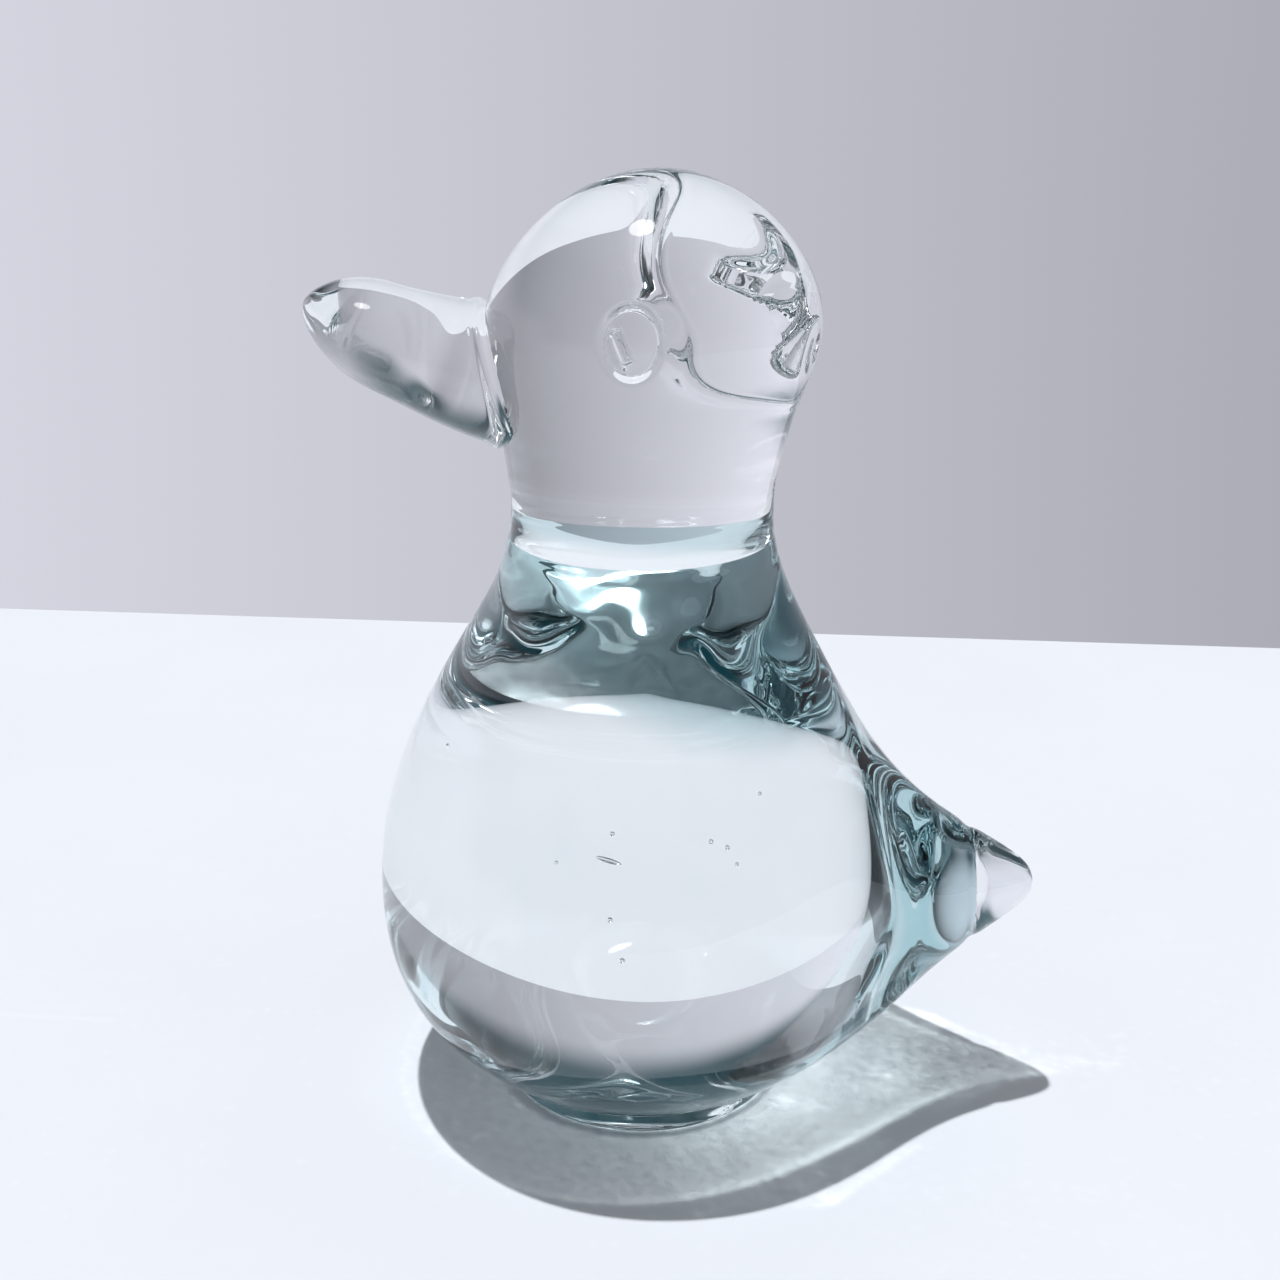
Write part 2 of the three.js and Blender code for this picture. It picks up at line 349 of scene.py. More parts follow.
@dataclass(frozen=True)
class HotWorkedGlass:
    """Soda-lime glass, gathered and worked hot, with a fire-polished skin.

    It is clear and bright through its middle, where it acts as a lens, and shows its green-blue tint where
    light runs a long way inside it. Cords of slightly deeper glass and faint handling marks break the even
    look. A sloping band under the neck and the stub of the tail take the deeper tint of gathered glass.
    """

    name: str
    pale: str
    cord: str
    gathered: str
    absorbed: str
    density: float
    index: float = 1.52
    cord_width: float = 11.0
    cord_stretch: tuple[float, float, float] = (1.0, 1.0, 0.45)
    cord_edges: tuple[float, float] = (0.45, 0.75)
    band_start: float = 66.0
    band_full: float = 72.0
    band_rise: tuple[float, float, float] = (0.28, 0.35, 1.0)
    stub_start: float = 24.0
    stub_full: float = 38.0
    ripple_width: float = 16.0
    ripple_height: float = 0.012
    smudge_width: float = 9.0
    smudge_edges: tuple[float, float] = (0.5, 0.8)
    smudge_roughness: float = 0.02

    def material(self) -> bpy.types.Material:
        """Builds the finish.

        Returns:
            The material.
        """
        made = bpy.data.materials.new(self.name)
        made.use_nodes = True
        tree = made.node_tree
        tree.nodes.clear()
        where = add(tree, "ShaderNodeTexCoord").outputs["Object"]
        flag = add(
            tree, "ShaderNodeAttribute", attribute_name=FUSED, attribute_type="GEOMETRY").outputs["Fac"]
        stretched = add(tree, "ShaderNodeMapping", {"Vector": where, "Scale": self.cord_stretch}).outputs[0]
        cords = add(tree, "ShaderNodeTexNoise", {
            "Vector": stretched, "Scale": 1 / (self.cord_width * MM), "Detail": 1.5,
            "Distortion": 1.2}).outputs[0]
        height = add(
            tree, "ShaderNodeVectorMath", (where, self.band_rise), operation="DOT_PRODUCT").outputs["Value"]
        back = add(tree, "ShaderNodeSeparateXYZ", [where]).outputs["Y"]
        depth, band, stub = (
            add(tree, "ShaderNodeMapRange", run, interpolation_type="SMOOTHSTEP").outputs[0] for run in (
                (cords, *self.cord_edges), (height, self.band_start * MM, self.band_full * MM),
                (back, self.stub_start * MM, self.stub_full * MM)))
        drawn = add(tree, "ShaderNodeMath", (band, stub), operation="MAXIMUM").outputs[0]
        streaked = add(tree, "ShaderNodeMix", {
            0: depth, 6: linear(self.pale), 7: linear(self.cord)}, data_type="RGBA").outputs[2]
        tint = add(tree, "ShaderNodeMix", {
            0: drawn, 6: streaked, 7: linear(self.gathered)}, data_type="RGBA").outputs[2]
        bare = add(tree, "ShaderNodeMix", {
            0: flag, 6: tint, 7: linear("#ffffff")}, data_type="RGBA").outputs[2]
        marks = add(tree, "ShaderNodeTexNoise", {
            "Vector": where, "Scale": 1 / (self.smudge_width * MM), "Detail": 3.0}).outputs[0]
        smudge = add(
            tree, "ShaderNodeMapRange", (marks, *self.smudge_edges, 0.0, self.smudge_roughness)).outputs[0]
        open_face = add(tree, "ShaderNodeMath", (1.0, flag), operation="SUBTRACT").outputs[0]
        rough = add(tree, "ShaderNodeMath", (smudge, open_face), operation="MULTIPLY").outputs[0]
        ripples = add(tree, "ShaderNodeTexNoise", {
            "Vector": where, "Scale": 1 / (self.ripple_width * MM), "Detail": 0.0}).outputs[0]
        bump = add(tree, "ShaderNodeBump", {
            "Height": ripples, "Strength": 1.0, "Distance": self.ripple_height * MM}).outputs[0]
        # Fused faces bend no light, because the glass goes on behind them.
        bend = add(
            tree, "ShaderNodeMath", (flag, 1 - self.index, self.index), operation="MULTIPLY_ADD").outputs[0]
        shader = add(tree, "ShaderNodeBsdfPrincipled", {
            "Base Color": bare, "Roughness": rough, "IOR": bend, "Normal": bump, "Transmission Weight": 1.0})
        inside = add(tree, "ShaderNodeVolumeAbsorption", {
            "Color": linear(self.absorbed), "Density": self.density})
        add(tree, "ShaderNodeOutputMaterial", {"Surface": shader.outputs[0], "Volume": inside.outputs[0]})
        return made


@dataclass
class Stance:
    """Heights of the joints, and how the middle of the duck leans over the foot's centre."""

    foot_top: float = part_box("foot")[1].z / MM
    neck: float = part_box("head")[0].z / MM
    crown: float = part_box("head")[1].z / MM
    breast_swell: float = 1.8
    head_lean: float = 2.15

    def lean(self, z: np.ndarray | float) -> np.ndarray:
        """Finds how far the middle lies behind the foot's centre.

        Args:
            z: Heights.

        Returns:
            Distances towards the tail.
        """
        along_body = np.clip((z - self.foot_top) / (self.neck - self.foot_top), 0, 1)
        along_head = np.clip((z - self.neck) / (self.crown - self.neck), 0, 1)
        breast = -self.breast_swell * np.sin(np.pi * along_body) ** 2
        return breast + self.head_lean * np.sin(np.pi / 2 * along_head) ** 2

    def middle(self, z: float) -> np.ndarray:
        """Point of the leaning middle line at a height."""
        return np.array([0, float(self.lean(z)), z])

    def at_neck_seam(self, z: np.ndarray, depth: float, width: float) -> np.ndarray:
        """Depth of the soft groove where the head is stuck to the body."""
        return depth * np.exp(-(((z - self.neck) / width) ** 2))


@dataclass(frozen=True)
class Dent:
    """Soft hollow that a tool left, at a height and so many degrees round from the left side."""

    turn: float
    z: float
    width: float
    depth: float


@dataclass
class Outline:
    """Profiles from the foot to the crown, as smooth curves, so that the waist has no crease of its own.

    The body is a little broader from side to side than from front to back, and its breadth sits lower.
    """

    stance: Stance
    seat_radius: float = 20.2
    underside_radius: float = 25.6
    thigh_radius: float = 31.7
    belly_radius: float = 34.4
    back_radius: float = 30.0
    shoulder_radius: float = 23.0
    neck_radius: float = 17.3
    waist_radius: float = 17.1
    throat_radius: float = 17.6
    cheek_radius: float = 19.6
    head_radius: float = 21.3
    brow_radius: float = 17.9
    crown_radius: float = 11.2
    flank: tuple[tuple[float, float], ...] = (
        (20.1, 0), (25.5, 0.053), (31.9, 0.145), (35.5, 0.25), (36.3, 0.355),
        (30.3, 0.618), (26.0, 0.724), (22.4, 0.816))
    samples: int = 6000

    def __post_init__(self) -> None:
        """Works out the curves."""
        body = [(self.seat_radius, 0), (self.underside_radius, 0.053), (self.thigh_radius, 0.145),
                (self.belly_radius, 0.355), (self.back_radius, 0.618), (self.shoulder_radius, 0.816)]
        self.curve, self.pole = self.through(body)
        self.joint = float(self.curve.knots[len(body)])
        self.sides = self.curve.at(np.linspace(0, self.pole, self.samples))
        flank, flank_pole = self.through(self.flank)
        self.flanks = flank.at(np.linspace(0, flank_pole, self.samples))

    def through(self, body: Sequence[tuple[float, float]]) -> tuple[SmoothCurve, float]:
        """Runs a curve through stations of the body and on up the head.

        Args:
            body: Radius of each station and its share of the body's height.

        Returns:
            The curve, and the distance along it at which it reaches the crown.
        """
        low, neck, high = self.stance.foot_top, self.stance.neck, self.stance.crown
        head = [(self.neck_radius, 0), (self.waist_radius, 0.085), (self.throat_radius, 0.196),
                (self.cheek_radius, 0.391), (self.head_radius, 0.587), (self.brow_radius, 0.783),
                (self.crown_radius, 0.924), (0, 1)]
        stations = [(radius, low + share * (neck - low)) for radius, share in body]
        stations += [(radius, neck + share * (high - neck)) for radius, share in head]
        return to_the_axis(stations)

    def body_rows(self, count: int) -> np.ndarray:
        """Radius and height of rows from the foot to the neck joint."""
        return self.curve.at(np.linspace(0, self.joint, count))

    def head_rows(self, count: int) -> np.ndarray:
        """Radius and height of rows from the neck joint to the crown."""
        return self.curve.at(np.linspace(self.joint, self.pole, count))

    def radius_at(self, z: np.ndarray | float) -> np.ndarray:
        """Radius from front to back at a height."""
        return np.interp(z, self.sides[:, 1], self.sides[:, 0])

    def flank_at(self, z: np.ndarray | float) -> np.ndarray:
        """Radius from side to side at a height."""
        return np.interp(z, self.flanks[:, 1], self.flanks[:, 0])

    def dented(self, points: np.ndarray, dents: Iterable[Dent]) -> np.ndarray:
        """Depth that the tools pressed the skin in.

        Args:
            points: Points of the skin.
            dents: Marks of the tools.

        Returns:
            Depths towards the axis.
        """
        depth = np.zeros(len(points))
        for dent in dents:
            turn = math.radians(dent.turn)
            radius = float(self.radius_at(dent.z))
            middle = self.stance.middle(dent.z) + radius * np.array([math.cos(turn), math.sin(turn), 0])
            depth += dent.depth * np.exp(-(((points - middle) / dent.width) ** 2).sum(1))
        return depth


@dataclass(frozen=True)
class Seed:
    """Air bubble in the body, drawn out along the way that the glass was pulled."""

    place: tuple[float, float, float]
    radius: float = 0.3
    length: float = 1.0
    tilt: float = 0.0


@dataclass
class Foot:
    """Low ground pad under the body."""

    stance: Stance
    radius: float = 19.4
    top_radius: float = 19.9
    bevel: float = 0.5
    underside_rings: tuple[float, ...] = (0.5, 0.9)
    bevel_rows: int = 7
    wall_start: float = 0.25
    wall_rows: int = 6
    sides: int = 160

    def build(self, glass: bpy.types.Material) -> bpy.types.Object:
        """Builds the foot.

        Args:
            glass: Its finish.

        Returns:
            The piece.
        """
        turn = turns(self.sides)
        ring = np.column_stack([np.cos(turn), np.sin(turn), np.zeros(self.sides)])
        skin = Skin()
        skin.row(np.zeros(3))
        for share in self.underside_rings:
            skin.row(ring * (share * self.radius))
        for angle in np.linspace(0, np.pi / 2, self.bevel_rows):
            radius = self.radius - self.bevel * (1 - math.sin(angle))
            skin.row(ring * radius + (0, 0, self.bevel * (1 - math.cos(angle))))
        top = self.stance.foot_top - FUSED_GAP
        for share in np.linspace(self.wall_start, 1, self.wall_rows):
            radius = self.radius + (self.top_radius - self.radius) * share
            skin.row(ring * radius + (0, 0, self.bevel + (top - self.bevel) * share))
        skin.row(np.array([0, 0, top]), fused_below=True)
        made = skin.mesh("glass_foot")
        polish(made)
        return place(made, "foot", Slot.TINTED, glass)


@dataclass
class BodyAndTail:
    """Pear-shaped body with a swelling breast, and the clear drop on the end of its drawn-out tail."""

    stance: Stance
    outline: Outline
    foot_top_radius: float = 19.9
    tail_height: float = 28.2
    tail_draw: float = 20.9
    tail_swing: float = 15.0
    tail_rise: float = 8.5
    tail_taper: float = 8.2
    tail_bluntness: float = 5.0
    tail_rounding: float = 2.4
    tail_widening: float = 1.0
    tail_front: tuple[float, float] = (-8.0, 16.0)
    foot_clearance: float = 14.0
    neck_clearance: float = 30.0
    stub_length: float = 11.8
    tail_groove: float = 0.4
    tail_groove_width: float = 0.9
    neck_groove: float = 0.06
    neck_groove_width: float = 0.5
    rows: int = 260
    columns: int = 320
    tail_crowding: float = 0.6
    dents: tuple[Dent, ...] = (
        Dent(-60, 70, 4.0, 0.4), Dent(-38, 75, 3.5, 0.45), Dent(-25, 73, 3.0, 1.0), Dent(-15, 77, 3.0, 0.4),
        Dent(4, 70, 3.0, 1.2), Dent(22, 72, 3.0, 1.0), Dent(30, 76.5, 3.0, 0.45), Dent(48, 71, 4.5, 0.5),
        Dent(155, 74, 3.5, 0.6), Dent(180, 70, 4.0, 0.7), Dent(208, 72, 3.5, 0.6))
    seeds: tuple[Seed, ...] = (
        Seed((20, -3.4, 45)), Seed((22, 7.8, 45)), Seed((21, 9.6, 43.7)), Seed((20, 10.5, 41), 0.25),
        Seed((19, -9.5, 40.7), 0.22), Seed((18, -3.6, 33)), Seed((20, -2.3, 29)),
        Seed((20, 13.8, 50.5), 0.25), Seed((16, -24.5, 55.5), 0.25), Seed((19, -3.8, 41), 0.3, 5.0, -20))

    def seam(self) -> float:
        """Place along y of the joint between the stub and the drop."""
        return float(self.stance.lean(self.tail_height)) + self.outline.belly_radius + self.stub_length

    def drawn(self, points: np.ndarray) -> np.ndarray:
        """Draws points of the plain skin back into the tail.

        Args:
            points: Points of the skin.

        Returns:
            The moved points.
        """
        x, y, z = points.T
        spread = np.hypot(x / self.tail_widening, z - self.tail_height)
        rounded = spread**self.tail_rounding + self.tail_bluntness**self.tail_rounding
        slope = rounded ** (1 / self.tail_rounding) - self.tail_bluntness
        low, neck = self.stance.foot_top, self.stance.neck
        reach = eased(y, *self.tail_front) * eased(z, low, low + self.foot_clearance)
        reach *= 1 - eased(z, neck - self.neck_clearance, neck)
        draw = self.tail_draw * np.exp(-slope / self.tail_taper) * reach
        swing, rise = math.radians(self.tail_swing), math.radians(self.tail_rise)
        moved = points + np.outer(draw, (math.sin(swing), math.cos(swing), math.tan(rise)))
        from_seam = (moved[:, 1] - self.seam()) / self.tail_groove_width
        pinch = self.tail_groove * np.exp(-(from_seam**2))
        away = np.maximum(spread, 1e-6)
        moved[:, 0] -= pinch * x / away
        moved[:, 2] -= pinch * (z - self.tail_height) / away
        return moved

    def whole(self) -> bpy.types.Mesh:
        """Makes the skin of the body with its whole tail.

        Returns:
            The closed skin.
        """
        low, high = self.stance.foot_top, self.stance.neck - FUSED_GAP / 2
        profile = self.outline.body_rows(self.rows)
        profile[-1, 1] = high
        turn = turns(self.columns)
        turn = turn - self.tail_crowding * np.sin(turn)
        skin = Skin()
        skin.row(np.array([0, 0, low]))
        ring = np.column_stack([-np.sin(turn), np.cos(turn)])
        foot_ring = np.column_stack([ring * self.foot_top_radius, np.full(self.columns, low)])
        skin.row(foot_ring, fused_below=True)
        for radius, z in profile:
            groove = float(self.stance.at_neck_seam(z, self.neck_groove, self.neck_groove_width))
            breadth = float(self.outline.flank_at(z))
            points = np.column_stack([ring * (breadth - groove, radius - groove), np.full(self.columns, z)])
            points[:, 1] += self.stance.lean(z)
            points[:, :2] -= ring * self.outline.dented(points, self.dents)[:, None]
            skin.row(self.drawn(points))
        skin.row(self.stance.middle(high), fused_below=True)
        return skin.mesh("glass_body")

    def parted(self, whole: bpy.types.Mesh, keep_tail: bool) -> bpy.types.Mesh:
        """Cuts the skin at the joint in the tail and closes it there.

        Args:
            whole: Skin of the body with its tail.
            keep_tail: Whether the tail's drop is kept, or the body.

        Returns:
            The kept piece.
        """
        work = bmesh.new()
        work.from_mesh(whole)
        gap = FUSED_GAP if keep_tail else 0
        done = bmesh.ops.bisect_plane(
            work, geom=[*work.verts, *work.edges, *work.faces], dist=1e-9,
            plane_co=(0, (self.seam() + gap) * MM, 0), plane_no=(0, 1, 0),
            clear_inner=keep_tail, clear_outer=not keep_tail)
        rim = [part for part in done["geom_cut"] if isinstance(part, bmesh.types.BMEdge)]
        closed = bmesh.ops.edgeloop_fill(work, edges=rim)["faces"]
        layer = work.faces.layers.float[FUSED]
        for face in closed:
            face[layer] = 1.0
        if not keep_tail:
            for seed in self.seeds:
                self.blow(work, seed)
        bmesh.ops.recalc_face_normals(work, faces=closed)
        made = bpy.data.meshes.new("glass_tail" if keep_tail else "glass_body")
        work.to_mesh(made)
        work.free()
        return made

    def blow(self, work: bmesh.types.BMesh, seed: Seed) -> None:
        """Adds the wall of an air bubble inside the glass.

        Args:
            work: The body's mesh.
            seed: The bubble.
        """
        shape = Matrix.LocRotScale(
            Vector(seed.place) * MM, Matrix.Rotation(math.radians(seed.tilt), 3, "X"),
            Vector((seed.radius, seed.radius * seed.length, seed.radius)) * MM)
        ball = bmesh.ops.create_icosphere(work, subdivisions=3, radius=1.0, matrix=shape)
        faces = {face for vert in ball["verts"] for face in vert.link_faces}
        bmesh.ops.reverse_faces(work, faces=list(faces))

    def build(self, tinted: bpy.types.Material, clear: bpy.types.Material) -> list[bpy.types.Object]:
        """Builds the body and the tail's drop.

        Args:
            tinted: Finish of the body.
            clear: Finish of the drop.

        Returns:
            The two pieces.
        """
        whole = self.whole()
        body, tail = self.parted(whole, False), self.parted(whole, True)
        bpy.data.meshes.remove(whole)
        polish(body)
        polish(tail)
        return [place(body, "body", Slot.TINTED, tinted), place(tail, "tail", Slot.CLEAR, clear)]


@dataclass(frozen=True)
class Press:
    """How one eye was pressed into the head by hand."""

    rise: float
    turn: float
    dome: float
    trench_depth: float
    trench_width: float
    trench_side: float
    trench_unevenness: float
    mark_width: float
    mark_depth: float
    mark_ends: float
    mark_lean: float
    mark_shift: tuple[float, float]


@dataclass
class Head:
    """Ball on a short neck, with a pressed dimple for each eye and a seat for the bill."""

    stance: Stance
    outline: Outline
    centre_drop: float = 20.0
    eye_radius: float = 3.7
    eye_slimness: float = 0.84
    dimple_radius: float = 6.6
    dimple_depth: float = 0.5
    trench_offset: float = 0.3
    presses: dict[Side, Press] = field(default_factory=lambda: {
        Side.LEFT: Press(
            rise=2.4, turn=7.5, dome=0.75, trench_depth=1.2, trench_width=0.55, trench_side=0,
            trench_unevenness=0, mark_width=0.9, mark_depth=1.3, mark_ends=0.25, mark_lean=24,
            mark_shift=(-0.99, -0.44)),
        Side.RIGHT: Press(
            rise=-1.8, turn=11.5, dome=0.4, trench_depth=1.0, trench_width=0.8, trench_side=28,
            trench_unevenness=0.92, mark_width=0.8, mark_depth=0.9, mark_ends=0.9, mark_lean=-72,
            mark_shift=(-0.95, -0.85))})
    dents: tuple[Dent, ...] = (
        Dent(-84, 83, 2.2, 0.35), Dent(-92, 88, 2.0, 0.3), Dent(80, 86, 2.2, 0.4), Dent(84, 92, 2.4, 0.35),
        Dent(78, 97, 2.2, 0.35), Dent(70, 104, 2.6, 0.4))
    neck_groove: float = 0.06
    neck_groove_width: float = 0.5
    rows: int = 260
    columns: int = 320
    eye_crowding: float = 0.33

    def __post_init__(self) -> None:
        """Works out how high the ball's centre is."""
        self.radius = self.outline.head_radius
        self.centre_z = self.stance.crown - self.centre_drop

    def centre(self) -> np.ndarray:
        """Middle of the ball."""
        return self.stance.middle(self.centre_z)

    def eye_frame(self, side: Side) -> np.ndarray:
        """Finds how an eye lies on the head.

        Args:
            side: Side of the head.

        Returns:
            Rows of directions across, up and out, and the place on the ball's surface.
        """
        press = self.presses[side]
        turn = math.radians(press.turn)
        z = self.centre_z + press.rise
        level = side.value * np.array([math.cos(turn), -math.sin(turn), 0])
        above, below = self.outline.radius_at(np.array([z + self.eye_radius, z - self.eye_radius]))
        out = level - (0, 0, (above - below) / (2 * self.eye_radius))
        out /= np.linalg.norm(out)
        across = np.cross((0, 0, 1), level)
        seat = self.stance.middle(z) + level * float(self.outline.radius_at(z))
        return np.array([across, np.cross(out, across), out, seat])

    def dimple(self, points: np.ndarray) -> np.ndarray:
        """Depth that the eye tool pressed the surface in.

        Args:
            points: Points on or near the ball.

        Returns:
            Depths towards the axis.
        """
        depth = np.zeros(len(points))
        for side in Side:
            across, up, out, seat = self.eye_frame(side)
            press = self.presses[side]
            local = points - seat
            reach = np.hypot(local @ across, local @ up) / self.dimple_radius
            pressed = self.dimple_depth * np.clip(1 - reach**2, 0, None) ** 2
            beside, above = local @ across / self.eye_slimness, local @ up
            from_rim = np.hypot(beside, above) - self.eye_radius
            round_rim = np.arctan2(above, beside) - math.radians(press.trench_side)
            trench = press.trench_depth * (1 - press.trench_unevenness * (1 - np.cos(round_rim)) / 2)
            pressed += trench * np.exp(-((from_rim / press.trench_width - self.trench_offset) ** 2))
            depth += pressed * ((points - self.centre()) @ out > 0)
        return depth

    def depth(self, points: np.ndarray) -> np.ndarray:
        """Finds how deep points lie under the head's surface, with points outside below 0."""
        from_axis = np.hypot(points[:, 0], points[:, 1] - self.stance.lean(points[:, 2]))
        return self.outline.radius_at(points[:, 2]) - self.dimple(points) - from_axis

    def ball(self) -> bpy.types.Mesh:
        """Makes the head before the seats are cut in it.

        Returns:
            The closed skin.
        """
        turn = turns(self.columns)
        turn = turn - self.eye_crowding * np.sin(2 * turn)
        ring = np.column_stack([np.cos(turn), np.sin(turn)])
        low = self.stance.neck + FUSED_GAP / 2
        skin = Skin()
        skin.row(self.stance.middle(low))
        profile = self.outline.head_rows(self.rows)
        profile[0, 1] = low
        for k, (radius, z) in enumerate(profile[:-1]):
            radius -= float(self.stance.at_neck_seam(z, self.neck_groove, self.neck_groove_width))
            points = np.column_stack([ring * radius, np.full(self.columns, z)])
            points[:, 1] += self.stance.lean(z)
            points[:, :2] -= ring * (self.dimple(points) + self.outline.dented(points, self.dents))[:, None]
            skin.row(points, fused_below=k == 0)
        skin.row(self.stance.middle(self.stance.crown))
        return skin.mesh("glass_head")

    def build(self, fitted: Sequence[bpy.types.Mesh], glass: bpy.types.Material) -> bpy.types.Object:
        """Builds the head with a close seat for each piece that is stuck on it.

        Args:
            fitted: Meshes of the bill and the eyes.
            glass: Finish of the head.

        Returns:
            The piece.
        """
        made = cut(self.ball(), [grown(mesh, FUSED_GAP) for mesh in fitted])
        made.name = "glass_head"
        polish(made)
        return place(made, "head", Slot.CLEAR, glass)


@dataclass(frozen=True)
class Pinch:
    """Soft hollow that a tool left in the bill, or a lump if its depth is below 0.

    Its place is a share of the bill's length and so many degrees round from the left side.
    """

    share: float
    turn: float
    width: float
    depth: float


@dataclass
class Bill:
    """Tongue of glass, widening to its rounded tip, stuck on the front of the face."""

    head: Head
    length: float = 26.4
    root_radius: float = 8.2
    mid_radius: float = 7.0
    end_radius: float = 5.3
    root_widening: float = 1.35
    end_widening: float = 1.5
    sag: float = 0.9
    upturn: float = 1.7
    pitch: float = 17.0
    seat_drop: float = 14.3
    seat_depth: float = 2.2
    root_share: float = 0.12
    mid_share: float = 0.49
    end_share: float = 0.8
    seat_rings: tuple[float, ...] = (0.5, 0.9, 1.0)
    least_sink: float = 0.05
    lip_height: float = 0.5
    lip_width: float = 1.1
    lip_sharpness: float = 2.0
    pinches: tuple[Pinch, ...] = (
        Pinch(0.42, 200, 2.2, 0.9), Pinch(0.6, 180, 3.4, -0.9), Pinch(0.74, 180, 3.4, -0.9),
        Pinch(0.95, 180, 3.0, 0.9), Pinch(0.5, 115, 2.4, 0.4), Pinch(0.62, 110, 2.4, 0.35))
    contact_reach: float = 0.75
    contact_steps: int = 900
    rows: int = 90
    columns: int = 144

    def __post_init__(self) -> None:
        """Works out the profile and the seat on the face."""
        self.curve, self.tip = to_the_axis([
            (self.root_radius, -self.root_radius), (self.root_radius, self.root_share * self.length),
            (self.mid_radius, self.mid_share * self.length), (self.end_radius, self.end_share * self.length),
            (0, self.length)])
        drop = math.radians(self.seat_drop)
        self.normal = np.array([0, -math.cos(drop), -math.sin(drop)])
        self.seat = self.head.centre() + self.normal * (self.head.radius - self.seat_depth)

    def points(self, along: np.ndarray, turn: np.ndarray) -> np.ndarray:
        """Finds points of the tongue's skin.

        Args:
            along: Distances along the profile.
            turn: Angles round the tongue, one for each distance.

        Returns:
            The points.
        """
        radius, z = self.curve.at(along).T
        share = np.clip(z / self.length, 0, 1)
        widening = self.root_widening + (self.end_widening - self.root_widening) * share
        x = radius * np.cos(turn) * widening
        y = radius * np.sin(turn) + self.upturn * share**2 - self.sag
        angle = math.pi / 2 - math.radians(self.pitch)
        turned = np.column_stack([
            x, y * math.cos(angle) - z * math.sin(angle), y * math.sin(angle) + z * math.cos(angle)])
        return turned + self.seat

    def last_below(self, values: np.ndarray, along: np.ndarray) -> np.ndarray:
        """Finds, in each column, where a value last rises through 0.

        Args:
            values: Values by distance and column.
            along: The distances.

        Returns:
            One distance for each column.
        """
        under = values < 0
        last = len(along) - 1 - np.argmax(under[::-1], axis=0)
        last = np.clip(last, 0, len(along) - 2)
        column = np.arange(values.shape[1])
        a, b = values[last, column], values[last + 1, column]
        return along[last] + (along[last + 1] - along[last]) * a / (a - b)

    def mesh(self) -> bpy.types.Mesh:
        """Makes the bill, with a row of points along the line where it meets the face.

        Returns:
            The closed skin.
        """
        turn = turns(self.columns)
        along = np.linspace(0, self.contact_reach * self.tip, self.contact_steps)
        grid = np.array([self.points(np.full(self.columns, a), turn) for a in along])
        flat = grid.reshape(-1, 3)
        shape = grid.shape[:2]
        start = self.seat + self.normal * FUSED_GAP
        over_seat = self.last_below(((flat - start) @ self.normal).reshape(shape), along)
        contact = self.last_below(-self.head.depth(flat).reshape(shape), along)
        contact = np.maximum(contact, over_seat + self.least_sink)
        rim = self.points(over_seat, turn)
        skin = Skin()
        skin.row(rim.mean(0))
        for share in self.seat_rings:
            skin.row(rim.mean(0) * (1 - share) + rim * share, fused_below=True)
        skin.row(self.points(contact, turn), fused_below=True)
        pinched = [self.points(np.array([p.share * self.tip]), np.radians([p.turn])) for p in self.pinches]
        for share in np.linspace(0, 1, self.rows)[1:-1]:
            now = contact + (self.tip - contact) * share
            points = self.points(now, turn)
            from_lip = (now - contact) / self.lip_width - 1
            lift = self.lip_height * np.exp(-(from_lip**2) * self.lip_sharpness)
            for pinch, middle in zip(self.pinches, pinched):
                lift -= pinch.depth * np.exp(-(((points - middle) / pinch.width) ** 2).sum(1))
            away = points - points.mean(0)
            skin.row(points + away / np.linalg.norm(away, axis=1, keepdims=True) * lift[:, None])
        skin.row(self.points(np.array([self.tip]), np.zeros(1)))
        made = skin.mesh("glass_bill")
        facing_out(made)
        return made

    def build(self, mesh: bpy.types.Mesh, glass: bpy.types.Material) -> bpy.types.Object:
        """Dresses the bill."""
        polish(mesh)
        return place(mesh, "bill", Slot.CLEAR, glass)


